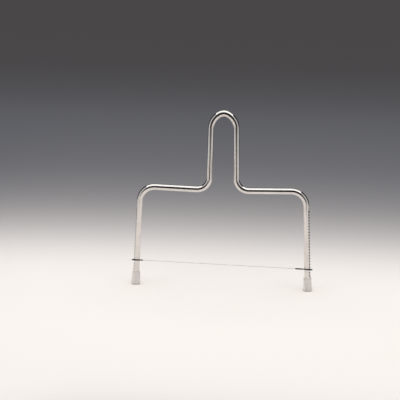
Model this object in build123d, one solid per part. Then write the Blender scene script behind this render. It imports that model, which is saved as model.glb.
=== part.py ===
from build123d import *
import math
import os

os.makedirs("parts", exist_ok=True)

# A wire cheese slicer that stands on two feet: one bent tube, two push-on feet, one cutting wire.
# Millimetres. X runs from foot to foot, Y through the slicer from front to back, Z up.
# The origin is on the floor, midway between the feet.
# A side is -1 for the left leg and 1 for the right leg, seen from the front.

# The bent tube
tube_diameter = 10.0
tube_wall = 1.0
overall_height = 300.0
leg_spacing = 289.0        # from leg axis to leg axis, at the floor
leg_lean = 3.05            # degrees, each leg leans in as it rises
shoulder_height = 170.3    # where the axes of a leg and its bar would cross
shoulder_radius = 25.0     # to the tube's axis
bar_rise = 1.42            # degrees, each bar rises outwards
grip_spacing = 45.2        # from post axis to post axis, where post and bar would cross
grip_base_radius = 20.0    # to the tube's axis
grip_taper = 1.2           # degrees, each post leans in as it rises
crown_top_radius = 13.0    # to the tube's axis, at the top of the grip
crown_side_radius = 26.0   # to the tube's axis, between the top and each post

# The notches that set the height of the cut
notch_pitch = 5.0          # along the leg
first_notch = 27.0         # along the leg, from the floor
plain_leg = 12.0           # at least so much straight leg stays plain above the last notch
notch_height = 1.8
notch_depth = 2.0
cutter_overrun = 2.0

# The push-on feet
foot_base_diameter = 14.8
foot_top_diameter = 13.4   # under the tapered rim
foot_rim_diameter = 12.6
foot_rim_height = 2.5
foot_height = 22.8         # along the leg
foot_floor = 3.0           # under the end of the tube
foot_edge_radius = 0.8
foot_mouth_chamfer = 0.4
foot_clearance = 0.05      # between the tube and its bore

# The cutting wire, with an eye round each leg
wire_diameter = 0.6
left_notch = 3             # the notch, counted up from 0, that each end hangs at
right_notch = 2
eye_tilt = 15.5            # degrees, by which the front of each eye is lifted about the wire's line
eye_side_clearance = 0.5   # from a tube that stands square to the eye, in front of it and behind it
eye_end_clearance = 1.2    # from the tube, at the notch
throat_radius = 1.5        # to the wire's axis, where the two strands of an eye close in
winding_clearance = 0.42   # between the winding and the strand that it goes round
winding_pitch = 1.05
lead_radius = 1.0          # of the bend that leads the free end into its winding
left_turns = 3
right_turns = 12
tip_clearance = 0.3        # between the end of the straight wire and the eye's inner strand
straight_angle = 0.01      # degrees, under which a run of the wire's path counts as a straight line

lean = math.radians(leg_lean)
taper = math.radians(grip_taper)
rise = math.radians(bar_rise)
tube_radius = tube_diameter / 2
wire_radius = wire_diameter / 2

# The straight stretch of a leg ends where its shoulder starts to bend, and the notches end before it
shoulder_reach = shoulder_radius * math.tan((math.pi / 2 - lean + rise) / 2)
straight_leg = shoulder_height / math.cos(lean) - shoulder_reach
notch_count = int((straight_leg - plain_leg - first_notch) / notch_pitch) + 1

# The wire travels until its left end hangs at the top notch, and until its right end is at the lowest
travel_up = (notch_count - 1 - left_notch) * notch_pitch
travel_down = right_notch * notch_pitch


def leg_place(side):
    # the frame of a leg: its origin on the floor, Z up the leg's axis, X across the leg
    return Pos(side * leg_spacing / 2, 0, 0) * Rot(0, -side * leg_lean, 0)


def leg_point(side, distance):
    # the point of a leg's axis that lies so far up it from the floor
    across = leg_spacing / 2 - distance * math.sin(lean)
    return Vector(side * across, 0, distance * math.cos(lean))


def swept_rod(path, diameter):
    # a solid round bar along a path
    section = Plane(origin=path @ 0, z_dir=path % 0) * Circle(diameter / 2)
    return sweep(section, path=path)


# The bent tube


def tube_path():
    # leg, shoulder, bar and post on each side, and over them the crown
    shoulder_across = leg_spacing / 2 - shoulder_height * math.tan(lean)
    grip_across = grip_spacing / 2
    grip_height = shoulder_height - (shoulder_across - grip_across) * math.tan(rise)
    post_end, post_heading, top_end = crown_places(Vector(grip_across, 0, grip_height))
    edges = []
    for side in (-1, 1):
        corners = [
            leg_point(side, foot_floor),
            (side * shoulder_across, 0, shoulder_height),
            (side * grip_across, 0, grip_height),
            (side * post_end.X, 0, post_end.Z),
        ]
        edges += FilletPolyline(*corners, radius=[shoulder_radius, grip_base_radius]).edges()
        heading = (side * post_heading.X, 0, post_heading.Z)
        edges += TangentArc(corners[-1], (side * top_end.X, 0, top_end.Z), tangent=heading).edges()
    crown_height = overall_height - tube_radius
    top = ThreePointArc((-top_end.X, 0, top_end.Z), (0, 0, crown_height), (top_end.X, 0, top_end.Z))
    return Wire(edges + top.edges())


def crown_places(post_start):
    # The crown is a small arc on top with a wider one on each side, which touches it and its post.
    # Its places on the right are found in the directions across the right post and along it.
    outwards = Vector(math.cos(taper), 0, math.sin(taper))
    upwards = Vector(-math.sin(taper), 0, math.cos(taper))
    top_centre = Vector(0, 0, overall_height - tube_radius - crown_top_radius)
    between_centres = crown_side_radius - crown_top_radius
    side_out = post_start.dot(outwards) - crown_side_radius
    centre_step = top_centre.dot(outwards) - side_out
    side_up = top_centre.dot(upwards) - math.sqrt(between_centres**2 - centre_step**2)
    side_centre = outwards * side_out + upwards * side_up
    post_end = side_centre + outwards * crown_side_radius
    top_end = top_centre + (top_centre - side_centre) * (crown_top_radius / between_centres)
    return post_end, upwards, top_end


def notch_cutter():
    # a round-bottomed slot across the leg, open on its +X side, at the height of the origin
    seat_radius = notch_height / 2
    length = tube_diameter + cutter_overrun
    seat = Rot(90, 0, 0) * Cylinder(seat_radius, length)
    mouth_depth = notch_depth + cutter_overrun
    start = (Align.MIN, Align.CENTER, Align.CENTER)
    mouth = Box(mouth_depth, length, notch_height, align=start)
    return Pos(tube_radius - notch_depth + seat_radius, 0, 0) * (seat + mouth)


def frame_tube():
    path = tube_path()
    tube = swept_rod(path, tube_diameter) - swept_rod(path, tube_diameter - 2 * tube_wall)
    section_area = math.pi * (tube_diameter - tube_wall) * tube_wall
    print("tube volume over section times length:", round(tube.volume / (section_area * path.length), 5))
    cutter = notch_cutter()
    cuts = []
    for side in (-1, 1):
        turned = Rot(0, 0, 0 if side > 0 else 180) * cutter
        for number in range(notch_count):
            height = first_notch + number * notch_pitch
            cuts.append(leg_place(side) * Pos(0, 0, height) * turned)
    return tube - cuts


# The feet


def foot(side):
    # a blind tapered cap in line with its leg, cut level where it stands on the floor
    base_radius = foot_base_diameter / 2
    top_radius = foot_top_diameter / 2
    taper_height = foot_height - foot_rim_height
    dip = foot_base_diameter * math.sin(lean)
    flare = dip * (base_radius - top_radius) / taper_height
    outline = Polyline(
        (0, 0, -dip),
        (base_radius + flare, 0, -dip),
        (top_radius, 0, taper_height),
        (foot_rim_diameter / 2, 0, foot_height),
        (0, 0, foot_height),
        close=True,
    )
    cap = revolve(make_face(outline), axis=Axis.Z)
    cap = split(leg_place(side) * cap, bisect_by=Plane.XY, keep=Keep.TOP)
    cap = fillet(cap.edges().group_by(Axis.Z)[0], foot_edge_radius)
    bore_radius = tube_radius + foot_clearance
    up = (Align.CENTER, Align.CENTER, Align.MIN)
    down = (Align.CENTER, Align.CENTER, Align.MAX)
    bore = Pos(0, 0, foot_floor) * Cylinder(bore_radius, foot_height, align=up)
    mouth_radius = bore_radius + foot_mouth_chamfer
    mouth = Pos(0, 0, foot_height) * Cone(bore_radius, mouth_radius, foot_mouth_chamfer, align=down)
    return cap - leg_place(side) * (bore + mouth)


# The wire


def smooth_run(stations):
    # lines and pairs of arcs through places with given directions, each meeting the next smoothly
    edges = []
    for (start, heading), (end, leaving) in zip(stations, stations[1:]):
        span = end - start
        if heading.dot(span) > span.length * math.cos(math.radians(straight_angle)):
            edges.append(Line(start, end))
            continue
        both = heading + leaving
        turn = 2 * (1 - heading.dot(leaving))
        along = span.dot(both)
        reach = (math.sqrt(along**2 + turn * span.dot(span)) - along) / turn
        middle = (start + end + (heading - leaving) * reach) / 2
        edges.append(TangentArc(start, middle, tangent=heading))
        edges.append(TangentArc(middle, end, tangent=edges[-1] % 1))
    return Wire([edge for line in edges for edge in line.edges()])


def eye_stations(turns):
    # The path of an eye and its winding, in a frame with the leg at the origin, the cutting wire
    # coming along the X axis from the -X side, and the notch on the +X side.
    # From inside the winding the strand runs out along the axis, round the leg by the front and the
    # notch, back by the rear, and then round the first strand.
    loop_radius = tube_radius + eye_side_clearance + wire_radius
    half_straight = eye_end_clearance - eye_side_clearance
    winding_radius = wire_diameter + winding_clearance
    reach = loop_radius + throat_radius
    in_rise = throat_radius / reach
    in_run = math.sqrt(1 - in_rise**2)
    out_rise = (winding_radius + throat_radius) / reach
    out_run = math.sqrt(1 - out_rise**2)
    throat = -half_straight - reach * in_run
    winding_start = -half_straight - reach * out_run
    stations = [
        (Vector(throat - wire_diameter, 0, 0), Vector(1, 0, 0)),
        (Vector(throat, 0, 0), Vector(1, 0, 0)),
        (
            Vector(-half_straight - loop_radius * in_run, -loop_radius * in_rise, 0),
            Vector(in_rise, -in_run, 0),
        ),
        (Vector(-half_straight, -loop_radius, 0), Vector(1, 0, 0)),
        (Vector(half_straight, -loop_radius, 0), Vector(1, 0, 0)),
        (Vector(half_straight + loop_radius, 0, 0), Vector(0, 1, 0)),
        (Vector(half_straight, loop_radius, 0), Vector(-1, 0, 0)),
        (Vector(-half_straight, loop_radius, 0), Vector(-1, 0, 0)),
        (
            Vector(-half_straight - loop_radius * out_run, loop_radius * out_rise, 0),
            Vector(-out_rise, -out_run, 0),
        ),
    ]
    return stations + winding_stations(winding_start, winding_radius, turns)


def winding_stations(start, radius, turns):
    # On the unrolled cylinder a round bend turns the strand from straight ahead to the slope of the
    # turns, which then go on at a steady pitch, a place for each quarter turn. The end runs straight.
    slope = math.atan(winding_pitch / (2 * math.pi * radius))
    steps = 3
    flat = []
    for step in range(steps + 1):
        turned = (math.pi / 2 - slope) * step / steps
        wrapped = lead_radius * (1 - math.cos(turned))
        ahead = lead_radius * math.sin(turned)
        flat.append((wrapped, ahead, turned))
    wrapped, ahead, turned = flat[-1]
    for quarter in range(1, 4 * turns + 1):
        share = quarter / 4
        flat.append((wrapped + share * 2 * math.pi * radius, ahead + share * winding_pitch, turned))
    stations = []
    for wrapped, ahead, turned in flat:
        angle = wrapped / radius
        place = Vector(start - ahead, radius * math.cos(angle), radius * math.sin(angle))
        round_axis = Vector(0, -math.sin(angle), math.cos(angle))
        stations.append((place, Vector(-math.cos(turned), 0, 0) + round_axis * math.sin(turned)))
    place, heading = stations[-1]
    return stations + [(place + heading * wire_diameter, heading)]


def eye(turns):
    # one unbroken wire through the eye and its winding
    path = smooth_run(eye_stations(turns))
    print_least_gap(path)
    return swept_rod(path, wire_diameter)


def print_least_gap(path):
    # measured between points that lie more than half a turn of the winding apart along the wire
    apart = math.pi * (wire_diameter + winding_clearance)
    count = int(path.length / wire_radius * 2)
    points = [path @ (number / count) for number in range(count + 1)]
    skip = int(apart / path.length * count)
    least = min(
        (points[first] - points[second]).length
        for first in range(count + 1)
        for second in range(first + skip, count + 1)
    )
    print("least gap of the wound wire to itself:", round(least - wire_diameter, 3))


left_anchor = leg_point(-1, first_notch + left_notch * notch_pitch)
right_anchor = leg_point(1, first_notch + right_notch * notch_pitch)
wire_run = right_anchor - left_anchor
wire_slope = math.degrees(math.atan2(-wire_run.Z, wire_run.X))
throat_length = eye_stations(1)[0][0].X * -1
closing_share = -2 * math.sin(lean) / (
    math.cos(math.radians(wire_slope)) - math.sin(math.radians(wire_slope)) * math.tan(lean)
)
closing = -closing_share * travel_up


def wire_place(anchor):
    # the frame of an end of the wire: its origin on the leg's axis, X along the wire to the right
    return Pos(*anchor) * Rot(0, wire_slope, 0)


def eye_place(anchor):
    return wire_place(anchor) * Rot(-eye_tilt, 0, 0)


def cutting_wire():
    # a straight wire from inside the left winding to inside the right one, which slides over it
    left_tip = throat_length + tip_clearance
    right_tip = throat_length + tip_clearance + closing
    length = wire_run.length - left_tip - right_tip
    rod = Cylinder(wire_radius, length, align=(Align.CENTER, Align.CENTER, Align.MIN))
    return wire_place(left_anchor) * Pos(left_tip, 0, 0) * Rot(0, 90, 0) * rod


parts = {
    "frame_tube": frame_tube(),
    "left_foot": foot(-1),
    "right_foot": foot(1),
    "cutting_wire": cutting_wire(),
    "left_wire_eye": eye_place(left_anchor) * Rot(0, 0, 180) * eye(left_turns),
    "right_wire_eye": eye_place(right_anchor) * eye(right_turns),
}
for name, solid in parts.items():
    export_step(solid, f"parts/{name}.step")

pivot = wire_place(left_anchor) * Pos(throat_length + left_turns * winding_pitch / 2, 0, 0)
print("left leg axis:", round(math.sin(lean), 6), 0, round(math.cos(lean), 6))
print("tilt pivot:", tuple(pivot.position))
print("wire slope in degrees:", round(wire_slope, 4), "closing for each unit up:", round(closing_share, 6))
print("left anchor:", left_anchor, "right anchor:", right_anchor)
print("notches on each leg:", notch_count, "travel:", -travel_down, travel_up, "closing:", round(closing, 3))
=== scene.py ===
import math

import bpy
import numpy as np
from mathutils import Matrix, Vector


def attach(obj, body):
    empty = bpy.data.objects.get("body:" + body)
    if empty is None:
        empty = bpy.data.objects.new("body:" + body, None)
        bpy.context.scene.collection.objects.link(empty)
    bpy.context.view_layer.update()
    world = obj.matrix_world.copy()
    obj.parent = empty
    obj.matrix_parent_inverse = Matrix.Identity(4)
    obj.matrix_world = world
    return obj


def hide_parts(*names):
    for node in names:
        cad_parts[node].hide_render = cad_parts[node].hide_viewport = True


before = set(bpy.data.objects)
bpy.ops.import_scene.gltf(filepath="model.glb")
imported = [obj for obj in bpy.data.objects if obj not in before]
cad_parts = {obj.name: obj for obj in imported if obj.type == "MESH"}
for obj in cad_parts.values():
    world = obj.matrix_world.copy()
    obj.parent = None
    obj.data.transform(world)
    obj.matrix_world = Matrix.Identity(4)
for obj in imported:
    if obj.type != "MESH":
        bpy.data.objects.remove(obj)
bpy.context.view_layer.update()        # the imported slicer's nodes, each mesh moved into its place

scene = bpy.context.scene
scene.view_settings.view_transform = "Standard"
mm = 0.001               # every length below that is written in millimetres is times this
print("frame loaded:", ", ".join(sorted(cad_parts)))


# Tools: colour, nodes and materials


def hexToLinear(code):
    # an sRGB hex colour as the linear values that the shaders want
    parts = [int(code[i : i + 2], 16) / 255 for i in (1, 3, 5)]
    linear = [c / 12.92 if c <= 0.04045 else ((c + 0.055) / 1.055) ** 2.4 for c in parts]
    return (*linear, 1.0)


def addNode(tree, kind, sockets=None, links=None, **settings):
    # one node: its own settings, values for its sockets, and sockets fed by other nodes
    node = tree.nodes.new(kind)
    for name, value in settings.items():
        setattr(node, name, value)
    for socket, value in (sockets or {}).items():
        node.inputs[socket].default_value = value
    for socket, source in (links or {}).items():
        tree.links.new(source, node.inputs[socket])
    return node


def newMaterial(name):
    # an empty material, its node tree, and the socket that its shader goes into
    material = bpy.data.materials.new(name)
    material.use_nodes = True
    material.node_tree.nodes.clear()
    output = addNode(material.node_tree, "ShaderNodeOutputMaterial")
    return material, material.node_tree, output.inputs["Surface"]


def fade(tree, distance, half, power):
    # 1 / (1 + (distance / half) ^ power), with no fade where the distance is negative
    kept = addNode(tree, "ShaderNodeMath", {1: 0.0}, {0: distance}, operation="MAXIMUM")
    share = addNode(tree, "ShaderNodeMath", {1: half}, {0: kept.outputs[0]}, operation="DIVIDE")
    raised = addNode(tree, "ShaderNodeMath", {1: power}, {0: share.outputs[0]}, operation="POWER")
    more = addNode(tree, "ShaderNodeMath", {1: 1.0}, {0: raised.outputs[0]}, operation="ADD")
    return addNode(tree, "ShaderNodeMath", {0: 1.0}, {1: more.outputs[0]}, operation="DIVIDE").outputs[0]


def dress(nodeName, material):
    # a CAD node keeps its mesh and takes this finish in every one of its material slots
    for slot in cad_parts[nodeName].material_slots:
        slot.material = material


# Camera: the photograph's viewing angle, a long lens a little above the slicer and right of its middle

cameraPlace = {
    "elevation": 15.51,                     # degrees above the floor
    "azimuth": 4.93,                        # degrees towards the right foot
    "roll": 0.63,                           # degrees
    "distance": 1640.4 * mm,                # from the target
    "target": (-37.05 * mm, 0.0, 149.84 * mm),
    "lens": 90.0,
    "sensor": 36.0,
    "seesTo": 100.0,                        # metres, past the floor's far edge
}


def placeCamera(place):
    # back points from the target to the camera, and the roll turns the picture about it
    elevation, azimuth, roll = (math.radians(place[k]) for k in ("elevation", "azimuth", "roll"))
    back = Vector((
        math.sin(azimuth) * math.cos(elevation),
        -math.cos(azimuth) * math.cos(elevation),
        math.sin(elevation),
    ))
    right = Vector((math.cos(azimuth), math.sin(azimuth), 0))
    up = back.cross(right)
    across = right * math.cos(roll) + up * math.sin(roll)
    upright = up * math.cos(roll) - right * math.sin(roll)
    data = bpy.data.cameras.new("camera")
    data.lens = place["lens"]
    data.sensor_width = place["sensor"]
    data.clip_end = place["seesTo"]
    camera = bpy.data.objects.new("camera", data)
    turn = Matrix((across, upright, back)).transposed().to_4x4()
    camera.matrix_world = Matrix.Translation(Vector(place["target"]) + back * place["distance"]) @ turn
    scene.collection.objects.link(camera)
    scene.camera = camera


placeCamera(cameraPlace)
print("camera placed")


# Stage: a pale floor that fades into a dim room, two soft lamps overhead and a soft card each side

# a fade is a pair: the distance at which it is half gone, and how sharply it goes
stage = {
    "floorPale": "#F3EDE9",
    "floorSize": 60.0,
    "fadeBehind": (322 * mm, 2.5),          # the pale floor, behind the slicer
    "fadeInFront": (1150 * mm, 6.0),
    "fadeAside": (800 * mm, 5.0),
    "gapStart": (505 * mm, 13.0),           # straight ahead it ends sooner, where the camera stands
    "gapWidth": (260 * mm, 8.0),
    "gapMiddle": 60 * mm,
    "roomGrey": "#5F6066",                  # what the room looks like just behind the lit floor
    "roomFar": "#2E2D2D",                   # and far off
    "roomFadesBehind": (2.9, 2.2),
    "roomFadesInFront": (800 * mm, 4.0),
    "backdrop": "#494748",                  # the camera itself sees the far room as an even backdrop
    "backdropStarts": (1.8, 7.0),
    "lampSize": (2.4, 2.0),
    "lampPlace": (0.0, 0.09, 1.4),
    "lampGlow": 1.48,                       # brightness of the lamp's face, where 1 is a white surface
    "fillSize": (3.2, 3.0),
    "fillPlace": (0.0, -0.2, 1.6),
    "fillGlow": 0.61,                       # of the second lamp, which the steel doesn't mirror
    "cardSize": (0.9, 1.15),                # front to back, and high
    "cardPlace": (820 * mm, -480 * mm, 575 * mm),
    "cardGlow": 0.6,
}


def litShare(tree, axes, ahead):
    # How much of a spot on the floor is lit board: one minus the gap in front of the camera, times the
    # fades behind, in front and aside. The gap is past its start, times within its width.
    aside = addNode(tree, "ShaderNodeMath", links={0: axes.outputs["X"]}, operation="ABSOLUTE").outputs[0]
    shifted = addNode(
        tree, "ShaderNodeMath", {1: stage["gapMiddle"]}, {0: axes.outputs["X"]}, operation="SUBTRACT"
    )
    fromMiddle = addNode(tree, "ShaderNodeMath", links={0: shifted.outputs[0]}, operation="ABSOLUTE")
    near = fade(tree, ahead, *stage["gapStart"])
    past = addNode(tree, "ShaderNodeMath", {0: 1.0}, {1: near}, operation="SUBTRACT").outputs[0]
    within = fade(tree, fromMiddle.outputs[0], *stage["gapWidth"])
    gap = addNode(tree, "ShaderNodeMath", links={0: past, 1: within}, operation="MULTIPLY").outputs[0]
    lit = addNode(tree, "ShaderNodeMath", {0: 1.0}, {1: gap}, operation="SUBTRACT").outputs[0]
    for distance, key in ((axes.outputs["Y"], "fadeBehind"), (ahead, "fadeInFront"), (aside, "fadeAside")):
        share = fade(tree, distance, *stage[key])
        lit = addNode(tree, "ShaderNodeMath", links={0: lit, 1: share}, operation="MULTIPLY").outputs[0]
    return lit


def roomColour(tree, axes, ahead):
    # The unlit floor: grey near the slicer and darker far off, in mirrored and scattered light. To the
    # camera it goes over into the backdrop instead.
    behind = fade(tree, axes.outputs["Y"], *stage["roomFadesBehind"])
    inFront = fade(tree, ahead, *stage["roomFadesInFront"])
    both = addNode(tree, "ShaderNodeMath", links={0: behind, 1: inFront}, operation="MULTIPLY").outputs[0]
    dim = addNode(tree, "ShaderNodeMixRGB", {
        "Color1": hexToLinear(stage["roomFar"]), "Color2": hexToLinear(stage["roomGrey"]),
    }, {"Fac": both})
    seen = addNode(tree, "ShaderNodeMixRGB", {
        "Color1": hexToLinear(stage["backdrop"]), "Color2": hexToLinear(stage["roomGrey"]),
    }, {"Fac": fade(tree, axes.outputs["Y"], *stage["backdropStarts"])})
    ray = addNode(tree, "ShaderNodeLightPath")
    return addNode(tree, "ShaderNodeMixRGB", links={
        "Fac": ray.outputs["Is Camera Ray"],
        "Color1": dim.outputs["Color"],
        "Color2": seen.outputs["Color"],
    }).outputs["Color"]


def floorMaterial():
    # Board with matt paint: even and without gloss, so it mirrors nothing and takes a soft shadow. It is
    # lit near the slicer and lost in the dim room further off.
    material, tree, surface = newMaterial("matt_pale_board")
    place = addNode(tree, "ShaderNodeTexCoord").outputs["Object"]
    axes = addNode(tree, "ShaderNodeSeparateXYZ", links={0: place})
    ahead = addNode(
        tree, "ShaderNodeMath", {1: -1.0}, {0: axes.outputs["Y"]}, operation="MULTIPLY"
    ).outputs[0]
    board = addNode(tree, "ShaderNodeBsdfDiffuse", {"Color": hexToLinear(stage["floorPale"])})
    room = addNode(tree, "ShaderNodeEmission", links={"Color": roomColour(tree, axes, ahead)})
    mixed = addNode(tree, "ShaderNodeMixShader", links={
        0: litShare(tree, axes, ahead), 1: room.outputs[0], 2: board.outputs[0],
    })
    tree.links.new(mixed.outputs[0], surface)
    return material


def softLamp(name, size, place, glow, turn=(0, 0, 0), inGloss=True):
    # an evenly bright rectangle that the camera can't see: its power is its glow times pi times its area
    data = bpy.data.lights.new(name, "AREA")
    data.shape = "RECTANGLE"
    data.size, data.size_y = size
    data.energy = glow * math.pi * size[0] * size[1]
    lamp = bpy.data.objects.new(name, data)
    lamp.location = place
    lamp.rotation_euler = turn
    lamp.visible_camera = False
    lamp.visible_glossy = inGloss
    scene.collection.objects.link(lamp)


def buildFloor():
    # one flat quad at height zero
    half = stage["floorSize"] / 2
    corners = [(-half, -half, 0), (half, -half, 0), (half, half, 0), (-half, half, 0)]
    mesh = bpy.data.meshes.new("floor")
    mesh.from_pydata(corners, [], [(0, 1, 2, 3)])
    mesh.materials.append(floorMaterial())
    floor = bpy.data.objects.new("floor", mesh)
    scene.collection.objects.link(floor)


def buildLamps():
    # the lamps shine straight down, and the cards are lamps turned inwards from both sides
    softLamp("overhead_softbox", stage["lampSize"], stage["lampPlace"], stage["lampGlow"])
    softLamp("fill", stage["fillSize"], stage["fillPlace"], stage["fillGlow"], inGloss=False)
    aside, front, height = stage["cardPlace"]
    deep, high = stage["cardSize"]
    for name, side in (("left_card", -1), ("right_card", 1)):
        inwards = (0, side * math.pi / 2, 0)
        softLamp(name, (high, deep), (side * aside, front, height), stage["cardGlow"], inwards)


def buildWorld():
    # the dim room above the floor, which the camera sees as the backdrop too
    world = bpy.data.worlds.new("dim_room")
    world.use_nodes = True
    tree = world.node_tree
    ray = addNode(tree, "ShaderNodeLightPath")
    colour = addNode(tree, "ShaderNodeMixRGB", {
        "Color1": hexToLinear(stage["roomFar"]), "Color2": hexToLinear(stage["backdrop"]),
    }, {"Fac": ray.outputs["Is Camera Ray"]})
    tree.links.new(colour.outputs["Color"], tree.nodes["Background"].inputs["Color"])
    scene.world = world


buildFloor()
buildLamps()
buildWorld()
print("stage built")


# Wire eyes: each end of the wire goes three times round its leg and is then wound tightly round itself

legs = {
    "spacing": 289 * mm,                    # from leg axis to leg axis, at the floor
    "lean": math.radians(3.05),             # inwards on the way up
    "radius": 5 * mm,
}
wireEyes = {
    "hangsAt": (42 * mm, 37 * mm),          # the left and the right end, along the leg from the floor
    "wire": 0.6 * mm,
    "tilt": math.radians(15.5),             # the front of each eye is lifted about the wire's line
    "sideClearance": 0.65 * mm,             # from a leg that stands square to the eye
    "notchOffset": 2.3 * mm,                # how much further out the turns pass the notch
    "throatOffset": 0.1 * mm,               # and how much further out they pass on the wire's side
    "crossover": 4.0,                       # how quickly the one offset goes over into the other
    "loopTurns": 3,                         # round the leg
    "throatRadius": 0.9 * mm,               # where the strands close in on the wire's line
    "dropsWithin": 0.625,                   # share of the first throat arc in which the strand drops
    "levelsAfter": 2 / 3,                   # share of the last one after which it comes back level
    "strandGap": 0.06 * mm,                 # between neighbouring strands
    "windingRadius": 0.9 * mm,              # to the wire's axis
    "leadRadius": 0.7 * mm,                 # of the bend into the winding
    "turns": (3.75, 18.75),                 # in the left and the right winding
    "innerEndsAt": 8.4 * mm,                # from the leg's axis, the end of the strand inside the winding
    "loopStep": math.radians(5),            # from one ring of the mesh to the next
    "windingStep": math.radians(18),
    "leadRings": 8,                         # along the inner strand, and along the bend into the winding
    "sides": 14,
    "tip": 0.15 * mm,                       # over which a cut end is rounded
    "tipFlat": 0.15,                        # share of the rounding that the cut end's flat face cuts off
}


def softStep(share):
    # goes smoothly from -1 to 1 while the share does: one and a half of it less half its cube
    share = np.clip(share, -1, 1)
    return 1.5 * share - 0.5 * share**3


def windingPath(turns, start):
    # The winding on its unrolled cylinder: a round bend from straight ahead to the slope of the turns,
    # and then a straight line, which the cylinder rolls up into a helix. The direction beside it goes
    # from the top to the outside of the cylinder on the way round the bend.
    look = wireEyes
    strand = look["wire"] + look["strandGap"]
    radius = look["windingRadius"]
    slope = math.atan(strand / (2 * math.pi * radius))
    bend = np.linspace(0, math.pi / 2 - slope, look["leadRings"])
    share = np.linspace(0, turns, int(turns * 2 * math.pi / look["windingStep"]))[1:]
    wrapped = look["leadRadius"] * (1 - np.cos(bend))
    ahead = look["leadRadius"] * np.sin(bend)
    wrapped = np.concatenate([wrapped, wrapped[-1] + share * 2 * math.pi * radius])
    ahead = np.concatenate([ahead, ahead[-1] + share * strand])
    turned = wrapped / radius
    outwards = np.stack([0 * turned, np.cos(turned), np.sin(turned)], 1)
    points = outwards * radius - ahead[:, None] * [1, 0, 0] + [start, 0, 0]
    lie = np.concatenate([bend / bend[-1], np.ones(len(share))])[:, None] * math.pi / 2
    return points, np.cos(lie) * [0, 0, 1] + np.sin(lie) * outwards


def eyePath(turns):
    # The line of one eye as rows of points, with a direction beside it for the first vertex of each ring.
    # The leg is at the origin, the cutting wire comes along the X axis from its -X side, and the notch is
    # on its +X side.
    look = wireEyes
    loop = legs["radius"] + look["sideClearance"] + look["wire"] / 2
    notchOffset, throatOffset = look["notchOffset"], look["throatOffset"]
    strand = look["wire"] + look["strandGap"]
    winding = look["windingRadius"]
    throat = look["throatRadius"]
    closeIn = math.asin(throat / (loop + throat))
    closeOut = math.asin((winding + throat) / (loop + throat))
    throatX = -throatOffset - (loop + throat) * math.cos(closeIn)
    windingX = -throatOffset - (loop + throat) * math.cos(closeOut)

    # the inner strand, and an arc of the throat that turns it aside and down to the first turn's level
    drop = strand * (look["loopTurns"] - 1) / 2
    inner = np.linspace([-look["innerEndsAt"], 0, 0], [throatX, 0, 0], look["leadRings"])[:-1]
    angle = np.arange(math.pi / 2, closeIn, -look["windingStep"])
    down = softStep((math.pi / 2 - angle) / (math.pi / 2 - closeIn) / look["dropsWithin"])
    entry = np.stack([throatX + throat * np.cos(angle), throat * (np.sin(angle) - 1), -drop * down], 1)

    # The turns round the leg: a circle whose halves are moved outwards by their offsets, with a steep
    # tanh of the cosine between the two. Each time it passes the throat again the wire climbs by one
    # strand, over the strand that comes in and under the one that leaves.
    lastAngle = (2 * look["loopTurns"] + 1) * math.pi - closeOut
    angle = np.arange(math.pi + closeIn, lastAngle, look["loopStep"])
    halves = np.tanh(look["crossover"] * np.cos(angle))
    apart = (notchOffset - throatOffset) / 2 + (notchOffset + throatOffset) / 2 * halves
    climb = sum(
        strand / 2 * softStep((2 * (angle - turn * math.pi) - closeIn + closeOut) / (closeIn + closeOut))
        for turn in range(3, 2 * look["loopTurns"] + 1, 2)
    )
    around = np.stack([loop * np.cos(angle) + apart, loop * np.sin(angle), climb], 1)

    # the other arc of the throat, back down to the wire's own level late on its way
    angle = np.arange(-closeOut, -math.pi / 2, -look["windingStep"])
    late = look["levelsAfter"]
    share = (-angle - closeOut) / (math.pi / 2 - closeOut)
    level = 1 - softStep(np.maximum((share - late) / (1 - late), 0))
    leaving = np.stack([
        windingX + throat * np.cos(angle), winding + throat + throat * np.sin(angle), drop * level,
    ], 1)

    # as far as the winding, each ring's first vertex is its top one
    coil, coilUpwards = windingPath(turns, windingX)
    before = np.concatenate([inner, entry, around, leaving])
    upwards = np.tile([0.0, 0.0, 1.0], (len(before), 1))
    return np.concatenate([before, coil]), np.concatenate([upwards, coilUpwards])


def sweptWire(points, upwards):
    # A round wire along a line: each point gets a ring of vertices square to the line. Near both ends the
    # ring shrinks as a quarter circle does, which rounds the cut ends, and one face closes each of them.
    sides = wireEyes["sides"]
    along = np.gradient(points, axis=0)
    along /= np.linalg.norm(along, axis=1, keepdims=True)
    across = np.cross(along, upwards)
    across /= np.linalg.norm(across, axis=1, keepdims=True)
    upwards = np.cross(across, along)
    steps = np.linalg.norm(np.diff(points, axis=0), axis=1)
    run = np.concatenate([[0], np.cumsum(steps)])
    fromEnd = np.minimum(run, run[-1] - run)
    rounding = np.clip(1 - wireEyes["tipFlat"] - fromEnd / wireEyes["tip"], 0, 1)
    radius = wireEyes["wire"] / 2 * np.sqrt(1 - rounding**2)
    angle = np.linspace(0, 2 * math.pi, sides, endpoint=False)[None, :, None]
    rings = points[:, None] + radius[:, None, None] * (
        np.cos(angle) * upwards[:, None] + np.sin(angle) * across[:, None]
    )
    count = len(points)
    ring, side = np.meshgrid(np.arange(count - 1), np.arange(sides), indexing="ij")
    here, there = ring * sides, (ring + 1) * sides
    after = (side + 1) % sides
    quads = np.stack([here + side, there + side, there + after, here + after], 2)
    faces = quads.reshape(-1, 4).tolist()
    faces += [list(range(sides)), list(range(count * sides - 1, (count - 1) * sides - 1, -1))]
    return rings.reshape(-1, 3), faces


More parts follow.
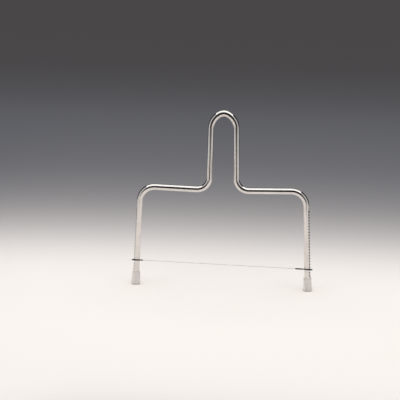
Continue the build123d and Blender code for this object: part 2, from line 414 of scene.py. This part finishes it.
def buildEye(name, end, body, material):
    # End 0 is the left one and 1 the right one. The eye's own frame has its origin on the leg's axis and
    # its X axis along the wire, to the right. The left eye is turned half round before it is tilted.
    sides = (-1, 1)
    lean, tilt = legs["lean"], wireEyes["tilt"]
    anchors = [
        np.array([side * (legs["spacing"] / 2 - up * math.sin(lean)), 0, up * math.cos(lean)])
        for side, up in zip(sides, wireEyes["hangsAt"])
    ]
    wireLine = anchors[1] - anchors[0]
    wireLine /= np.linalg.norm(wireLine)
    level = np.array([-wireLine[2], 0, wireLine[0]])
    back = np.array([0, math.cos(tilt), 0]) - math.sin(tilt) * level
    axes = np.array([sides[end] * wireLine, sides[end] * back, np.cross(wireLine, back)])
    points, upwards = eyePath(wireEyes["turns"][end])
    places, faces = sweptWire(points @ axes + anchors[end], upwards @ axes)
    mesh = bpy.data.meshes.new(name)
    mesh.from_pydata(places.tolist(), [], faces)
    mesh.polygons.foreach_set("use_smooth", np.ones(len(mesh.polygons), dtype=bool))
    mesh.materials.append(material)
    mesh.update()
    piece = bpy.data.objects.new(name, mesh)
    scene.collection.objects.link(piece)
    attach(piece, body)
    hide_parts(name.replace("wound", "wire"))
    print(name, "built,", len(faces), "faces")


# Finishes

noiseSpan = (0.3, 0.7)                      # where most of a noise lies
steelGrain = {
    "cloudSize": 9 * mm,                    # of the uneven patches that a polishing wheel leaves
    "cloudDetail": 4.0,
    "tintSpan": (0.3, 0.6),                 # of the clouds, from dull to bright
    "lineDetail": 3.0,
    "lineDepth": 0.02 * mm,
}
tubeFinish = {
    "steel": "#DEDAD6",
    "dull": "#D3CFCB",
    "metallic": 1.0,
    "roughness": (0.03, 0.08),
    "lineSpacing": (3.846 * mm, 3.846 * mm, 0.7143 * mm),    # along each axis: lines round the legs
    "relief": 0.12,
}
notchShadeFinish = {
    # painted shade: the notches' faces, and a band round those of the right leg, are near black for the
    # shade in the slots
    "steel": "#1C1A18",
    "metallic": 1.0,
    "roughness": 0.5,
    "startsInside": 0.08 * mm,              # the tube's outer face, the notches' own faces by so much
    "upTo": 140 * mm,                       # height over which the tube has no notches
    "first": 27 * mm,                       # along the leg, from the floor
    "pitch": 5 * mm,
    "shadeHalf": (1.05 * mm, 1.5 * mm),     # up or down from a notch's middle: it fades from, and to
    "shadeFrom": (2.5 * mm, 3.0 * mm),      # outwards from the leg's axis: it begins at, and is full at
}
wireFinish = {
    "steel": "#CECBC6",
    "dull": "#B9B5B0",
    "metallic": 1.0,
    "roughness": (0.18, 0.3),
    "lineSpacing": (16.67 * mm, 0.1667 * mm, 0.1667 * mm),   # long along the wire and close across it
    "relief": 0.25,
}
eyeShadeFinish = {
    # painted shade: near black stands in for the shade in the wound turns, not for the wire's own colour
    "steel": "#171513",
    "dull": "#100E0D",
    "metallic": 0.2,
    "roughness": (0.30, 0.45),
    "lineSpacing": (0.6667 * mm,) * 3,      # even, as the wire runs every way here
    "relief": 0.25,
}
footFinish = {
    "plastic": "#FAF2EF",
    "clouded": "#F1E8E4",
    # painted shade: greyer plastic low down, for the shade where the foot meets the table
    "shadedBase": "#D6CCC7",
    "roughness": (0.34, 0.46),
    "ior": 1.51,
    "clear": 0.12,                          # share of the light that goes straight through
    "milky": 0.6,                           # share that spreads inside
    "spread": 2.0 * mm,                     # and how far, in red
    "spreadShares": (1.0, 0.9, 0.85),       # of that, in red, green and blue
    "cloudSize": 3 * mm,                    # of the flow marks from the mould
    "cloudDetail": 5.0,
    "cloudSpan": (0.5, 0.75),               # of the clouds, from plain to clouded
    "baseShadeFade": (2.0 * mm, 4.0),               # the painted shade's fade upwards from the floor, as a pair like the floor's
}


def cloudedGloss(tree, place, size, detail, roughness):
    # slow clouds of about this size, and a roughness that goes with them from its one value to its other
    clouds = addNode(tree, "ShaderNodeTexNoise", {"Scale": 1 / size, "Detail": detail}, {"Vector": place})
    rough = addNode(tree, "ShaderNodeMapRange", {
        "From Min": noiseSpan[0], "From Max": noiseSpan[1], "To Min": roughness[0], "To Max": roughness[1],
    }, {"Value": clouds.outputs["Fac"]})
    return clouds.outputs["Fac"], rough.outputs["Result"]


def steelShader(tree, place, look):
    # Worked stainless steel: slow clouds in its tint and gloss, and the fine lines of its working, which
    # are noise squeezed along an axis. The real lines are some hundredths of a millimetre apart, too fine
    # to show here, so they are drawn as coarse as the spacing says.
    clouds, rough = cloudedGloss(
        tree, place, steelGrain["cloudSize"], steelGrain["cloudDetail"], look["roughness"]
    )
    tint = addNode(tree, "ShaderNodeValToRGB", links={"Fac": clouds})
    for stop, colour, position in zip(tint.color_ramp.elements, ("dull", "steel"), steelGrain["tintSpan"]):
        stop.color = hexToLinear(look[colour])
        stop.position = position
    squeezed = addNode(tree, "ShaderNodeVectorMath", {
        1: [1 / spacing for spacing in look["lineSpacing"]],
    }, {0: place}, operation="MULTIPLY")
    lines = addNode(tree, "ShaderNodeTexNoise", {
        "Scale": 1.0, "Detail": steelGrain["lineDetail"],
    }, {"Vector": squeezed.outputs[0]})
    bump = addNode(tree, "ShaderNodeBump", {
        "Strength": look["relief"], "Distance": steelGrain["lineDepth"],
    }, {"Height": lines.outputs["Fac"]})
    return addNode(tree, "ShaderNodeBsdfPrincipled", {"Metallic": look["metallic"]}, {
        "Base Color": tint.outputs["Color"], "Roughness": rough, "Normal": bump.outputs["Normal"],
    }).outputs[0]


def wireMaterial():
    # stainless spring wire, pulled through dies: grey steel with a satin gloss that runs along the wire
    material, tree, surface = newMaterial("drawn_spring_wire")
    place = addNode(tree, "ShaderNodeTexCoord").outputs["Object"]
    tree.links.new(steelShader(tree, place, wireFinish), surface)
    return material


def shadedEyeWireMaterial():
    # the same wire, painted nearly black as shade where it is wound, with a low and broken gloss
    material, tree, surface = newMaterial("wire_painted_dark_as_shade")
    place = addNode(tree, "ShaderNodeTexCoord").outputs["Object"]
    tree.links.new(steelShader(tree, place, eyeShadeFinish), surface)
    return material


def notchShadeMask(tree, place):
    # 1 where shade is painted, on the notches' own faces and on a band beside them, and 0 on the rest of
    # the tube. Both legs are folded onto the right one, and all is measured from its axis.
    lean = legs["lean"]
    axis = (-math.sin(lean), 0, math.cos(lean))
    outside = (math.cos(lean), 0, math.sin(lean))
    axes = addNode(tree, "ShaderNodeSeparateXYZ", links={0: place})
    folded = addNode(tree, "ShaderNodeVectorMath", links={0: place}, operation="ABSOLUTE")
    offset = addNode(
        tree, "ShaderNodeVectorMath", {1: (legs["spacing"] / 2, 0, 0)}, {0: folded.outputs[0]},
        operation="SUBTRACT",
    ).outputs[0]

    # the length of the offset crossed with the axis is a spot's distance from the axis
    crossed = addNode(tree, "ShaderNodeVectorMath", {1: axis}, {0: offset}, operation="CROSS_PRODUCT")
    away = addNode(tree, "ShaderNodeVectorMath", links={0: crossed.outputs[0]}, operation="LENGTH")
    cutRadius = legs["radius"] - notchShadeFinish["startsInside"]
    inside = addNode(
        tree, "ShaderNodeMath", {1: cutRadius}, {0: away.outputs["Value"]}, operation="LESS_THAN"
    )

    # Painted shade round each notch of the right leg, which makes the dark of the slots larger: the height
    # along the leg, folded at the notches' pitch, gives the distance from the nearest notch's middle. The
    # left leg gets none. It is drawn a little larger than a notch's real shade, which wouldn't show here.
    along = addNode(tree, "ShaderNodeVectorMath", {1: axis}, {0: offset}, operation="DOT_PRODUCT")
    first, halfPitch = notchShadeFinish["first"], notchShadeFinish["pitch"] / 2
    fromFirst = addNode(
        tree, "ShaderNodeMath", {1: first}, {0: along.outputs["Value"]}, operation="SUBTRACT"
    )
    fromMiddle = addNode(
        tree, "ShaderNodeMath", {1: halfPitch}, {0: fromFirst.outputs[0]}, operation="PINGPONG"
    )
    beside = addNode(tree, "ShaderNodeMapRange", {
        "From Min": notchShadeFinish["shadeHalf"][0], "From Max": notchShadeFinish["shadeHalf"][1],
        "To Min": 1.0, "To Max": 0.0,
    }, {"Value": fromMiddle.outputs[0]}, interpolation_type="SMOOTHSTEP")
    across = addNode(tree, "ShaderNodeVectorMath", {1: outside}, {0: offset}, operation="DOT_PRODUCT")
    outer = addNode(tree, "ShaderNodeMapRange", {
        "From Min": notchShadeFinish["shadeFrom"][0], "From Max": notchShadeFinish["shadeFrom"][1],
    }, {"Value": across.outputs["Value"]}, interpolation_type="SMOOTHSTEP")
    onRight = addNode(tree, "ShaderNodeMath", {1: 0.0}, {0: axes.outputs["X"]}, operation="GREATER_THAN")
    shadeBand = beside
    for share in (outer, onRight):
        shadeBand = addNode(
            tree, "ShaderNodeMath", links={0: shadeBand.outputs[0], 1: share.outputs[0]}, operation="MULTIPLY"
        )

    either = addNode(
        tree, "ShaderNodeMath", links={0: inside.outputs[0], 1: shadeBand.outputs[0]}, operation="MAXIMUM"
    )
    low = addNode(
        tree, "ShaderNodeMath", {1: notchShadeFinish["upTo"]}, {0: axes.outputs["Z"]}, operation="LESS_THAN"
    )
    return addNode(
        tree, "ShaderNodeMath", links={0: either.outputs[0], 1: low.outputs[0]}, operation="MULTIPLY"
    ).outputs[0]


def tubeMaterial():
    # Stainless steel tube, bent and then polished: a near mirror, so the room lies along it in hard light
    # and dark stripes. The notches that were cut into it afterwards are painted dark and dull as shade.
    material, tree, surface = newMaterial("polished_stainless_tube")
    place = addNode(tree, "ShaderNodeTexCoord").outputs["Object"]
    # painted shade: dark, dull steel for the shade in and round the notches
    shadedNotchSteel = addNode(tree, "ShaderNodeBsdfPrincipled", {
        "Base Color": hexToLinear(notchShadeFinish["steel"]),
        "Metallic": notchShadeFinish["metallic"],
        "Roughness": notchShadeFinish["roughness"],
    })
    mixed = addNode(tree, "ShaderNodeMixShader", links={
        0: notchShadeMask(tree, place), 1: steelShader(tree, place, tubeFinish), 2: shadedNotchSteel.outputs[0],
    })
    tree.links.new(mixed.outputs[0], surface)
    return material


def footMaterial():
    # Natural low-density polyethylene, moulded: milky and waxy, so that light sinks in, edges look soft
    # and the steel inside shows faintly. It is a little clouded, and painted greyer low down as shade
    # where it meets the table.
    material, tree, surface = newMaterial("milky_polyethylene")
    look = footFinish
    place = addNode(tree, "ShaderNodeTexCoord").outputs["Object"]
    axes = addNode(tree, "ShaderNodeSeparateXYZ", links={0: place})
    clouds, rough = cloudedGloss(tree, place, look["cloudSize"], look["cloudDetail"], look["roughness"])
    shadedLow = addNode(tree, "ShaderNodeMixRGB", {
        "Color1": hexToLinear(look["plastic"]), "Color2": hexToLinear(look["shadedBase"]),
    }, {"Fac": fade(tree, axes.outputs["Z"], *look["baseShadeFade"])})
    mottle = addNode(tree, "ShaderNodeMapRange", {
        "From Min": look["cloudSpan"][0], "From Max": look["cloudSpan"][1],
    }, {"Value": clouds})
    colour = addNode(tree, "ShaderNodeMixRGB", {"Color2": hexToLinear(look["clouded"])}, {
        "Fac": mottle.outputs["Result"], "Color1": shadedLow.outputs["Color"],
    })
    shader = addNode(tree, "ShaderNodeBsdfPrincipled", {
        "IOR": look["ior"],
        "Transmission Weight": look["clear"],
        "Subsurface Weight": look["milky"],
        "Subsurface Radius": look["spreadShares"],
        "Subsurface Scale": look["spread"],
    }, {"Base Color": colour.outputs["Color"], "Roughness": rough})
    tree.links.new(shader.outputs[0], surface)
    return material


dress("frame_tube", tubeMaterial())
dress("cutting_wire", wireMaterial())
milky = footMaterial()
for name in ("left_foot", "right_foot"):
    dress(name, milky)
# the eyes take the wire painted dark as shade
shadedEyeWire = shadedEyeWireMaterial()
for end, (name, body) in enumerate((("left_wound_eye", "left_end"), ("right_wound_eye", "right_end"))):
    buildEye(name, end, body, shadedEyeWire)
print("finishes made")
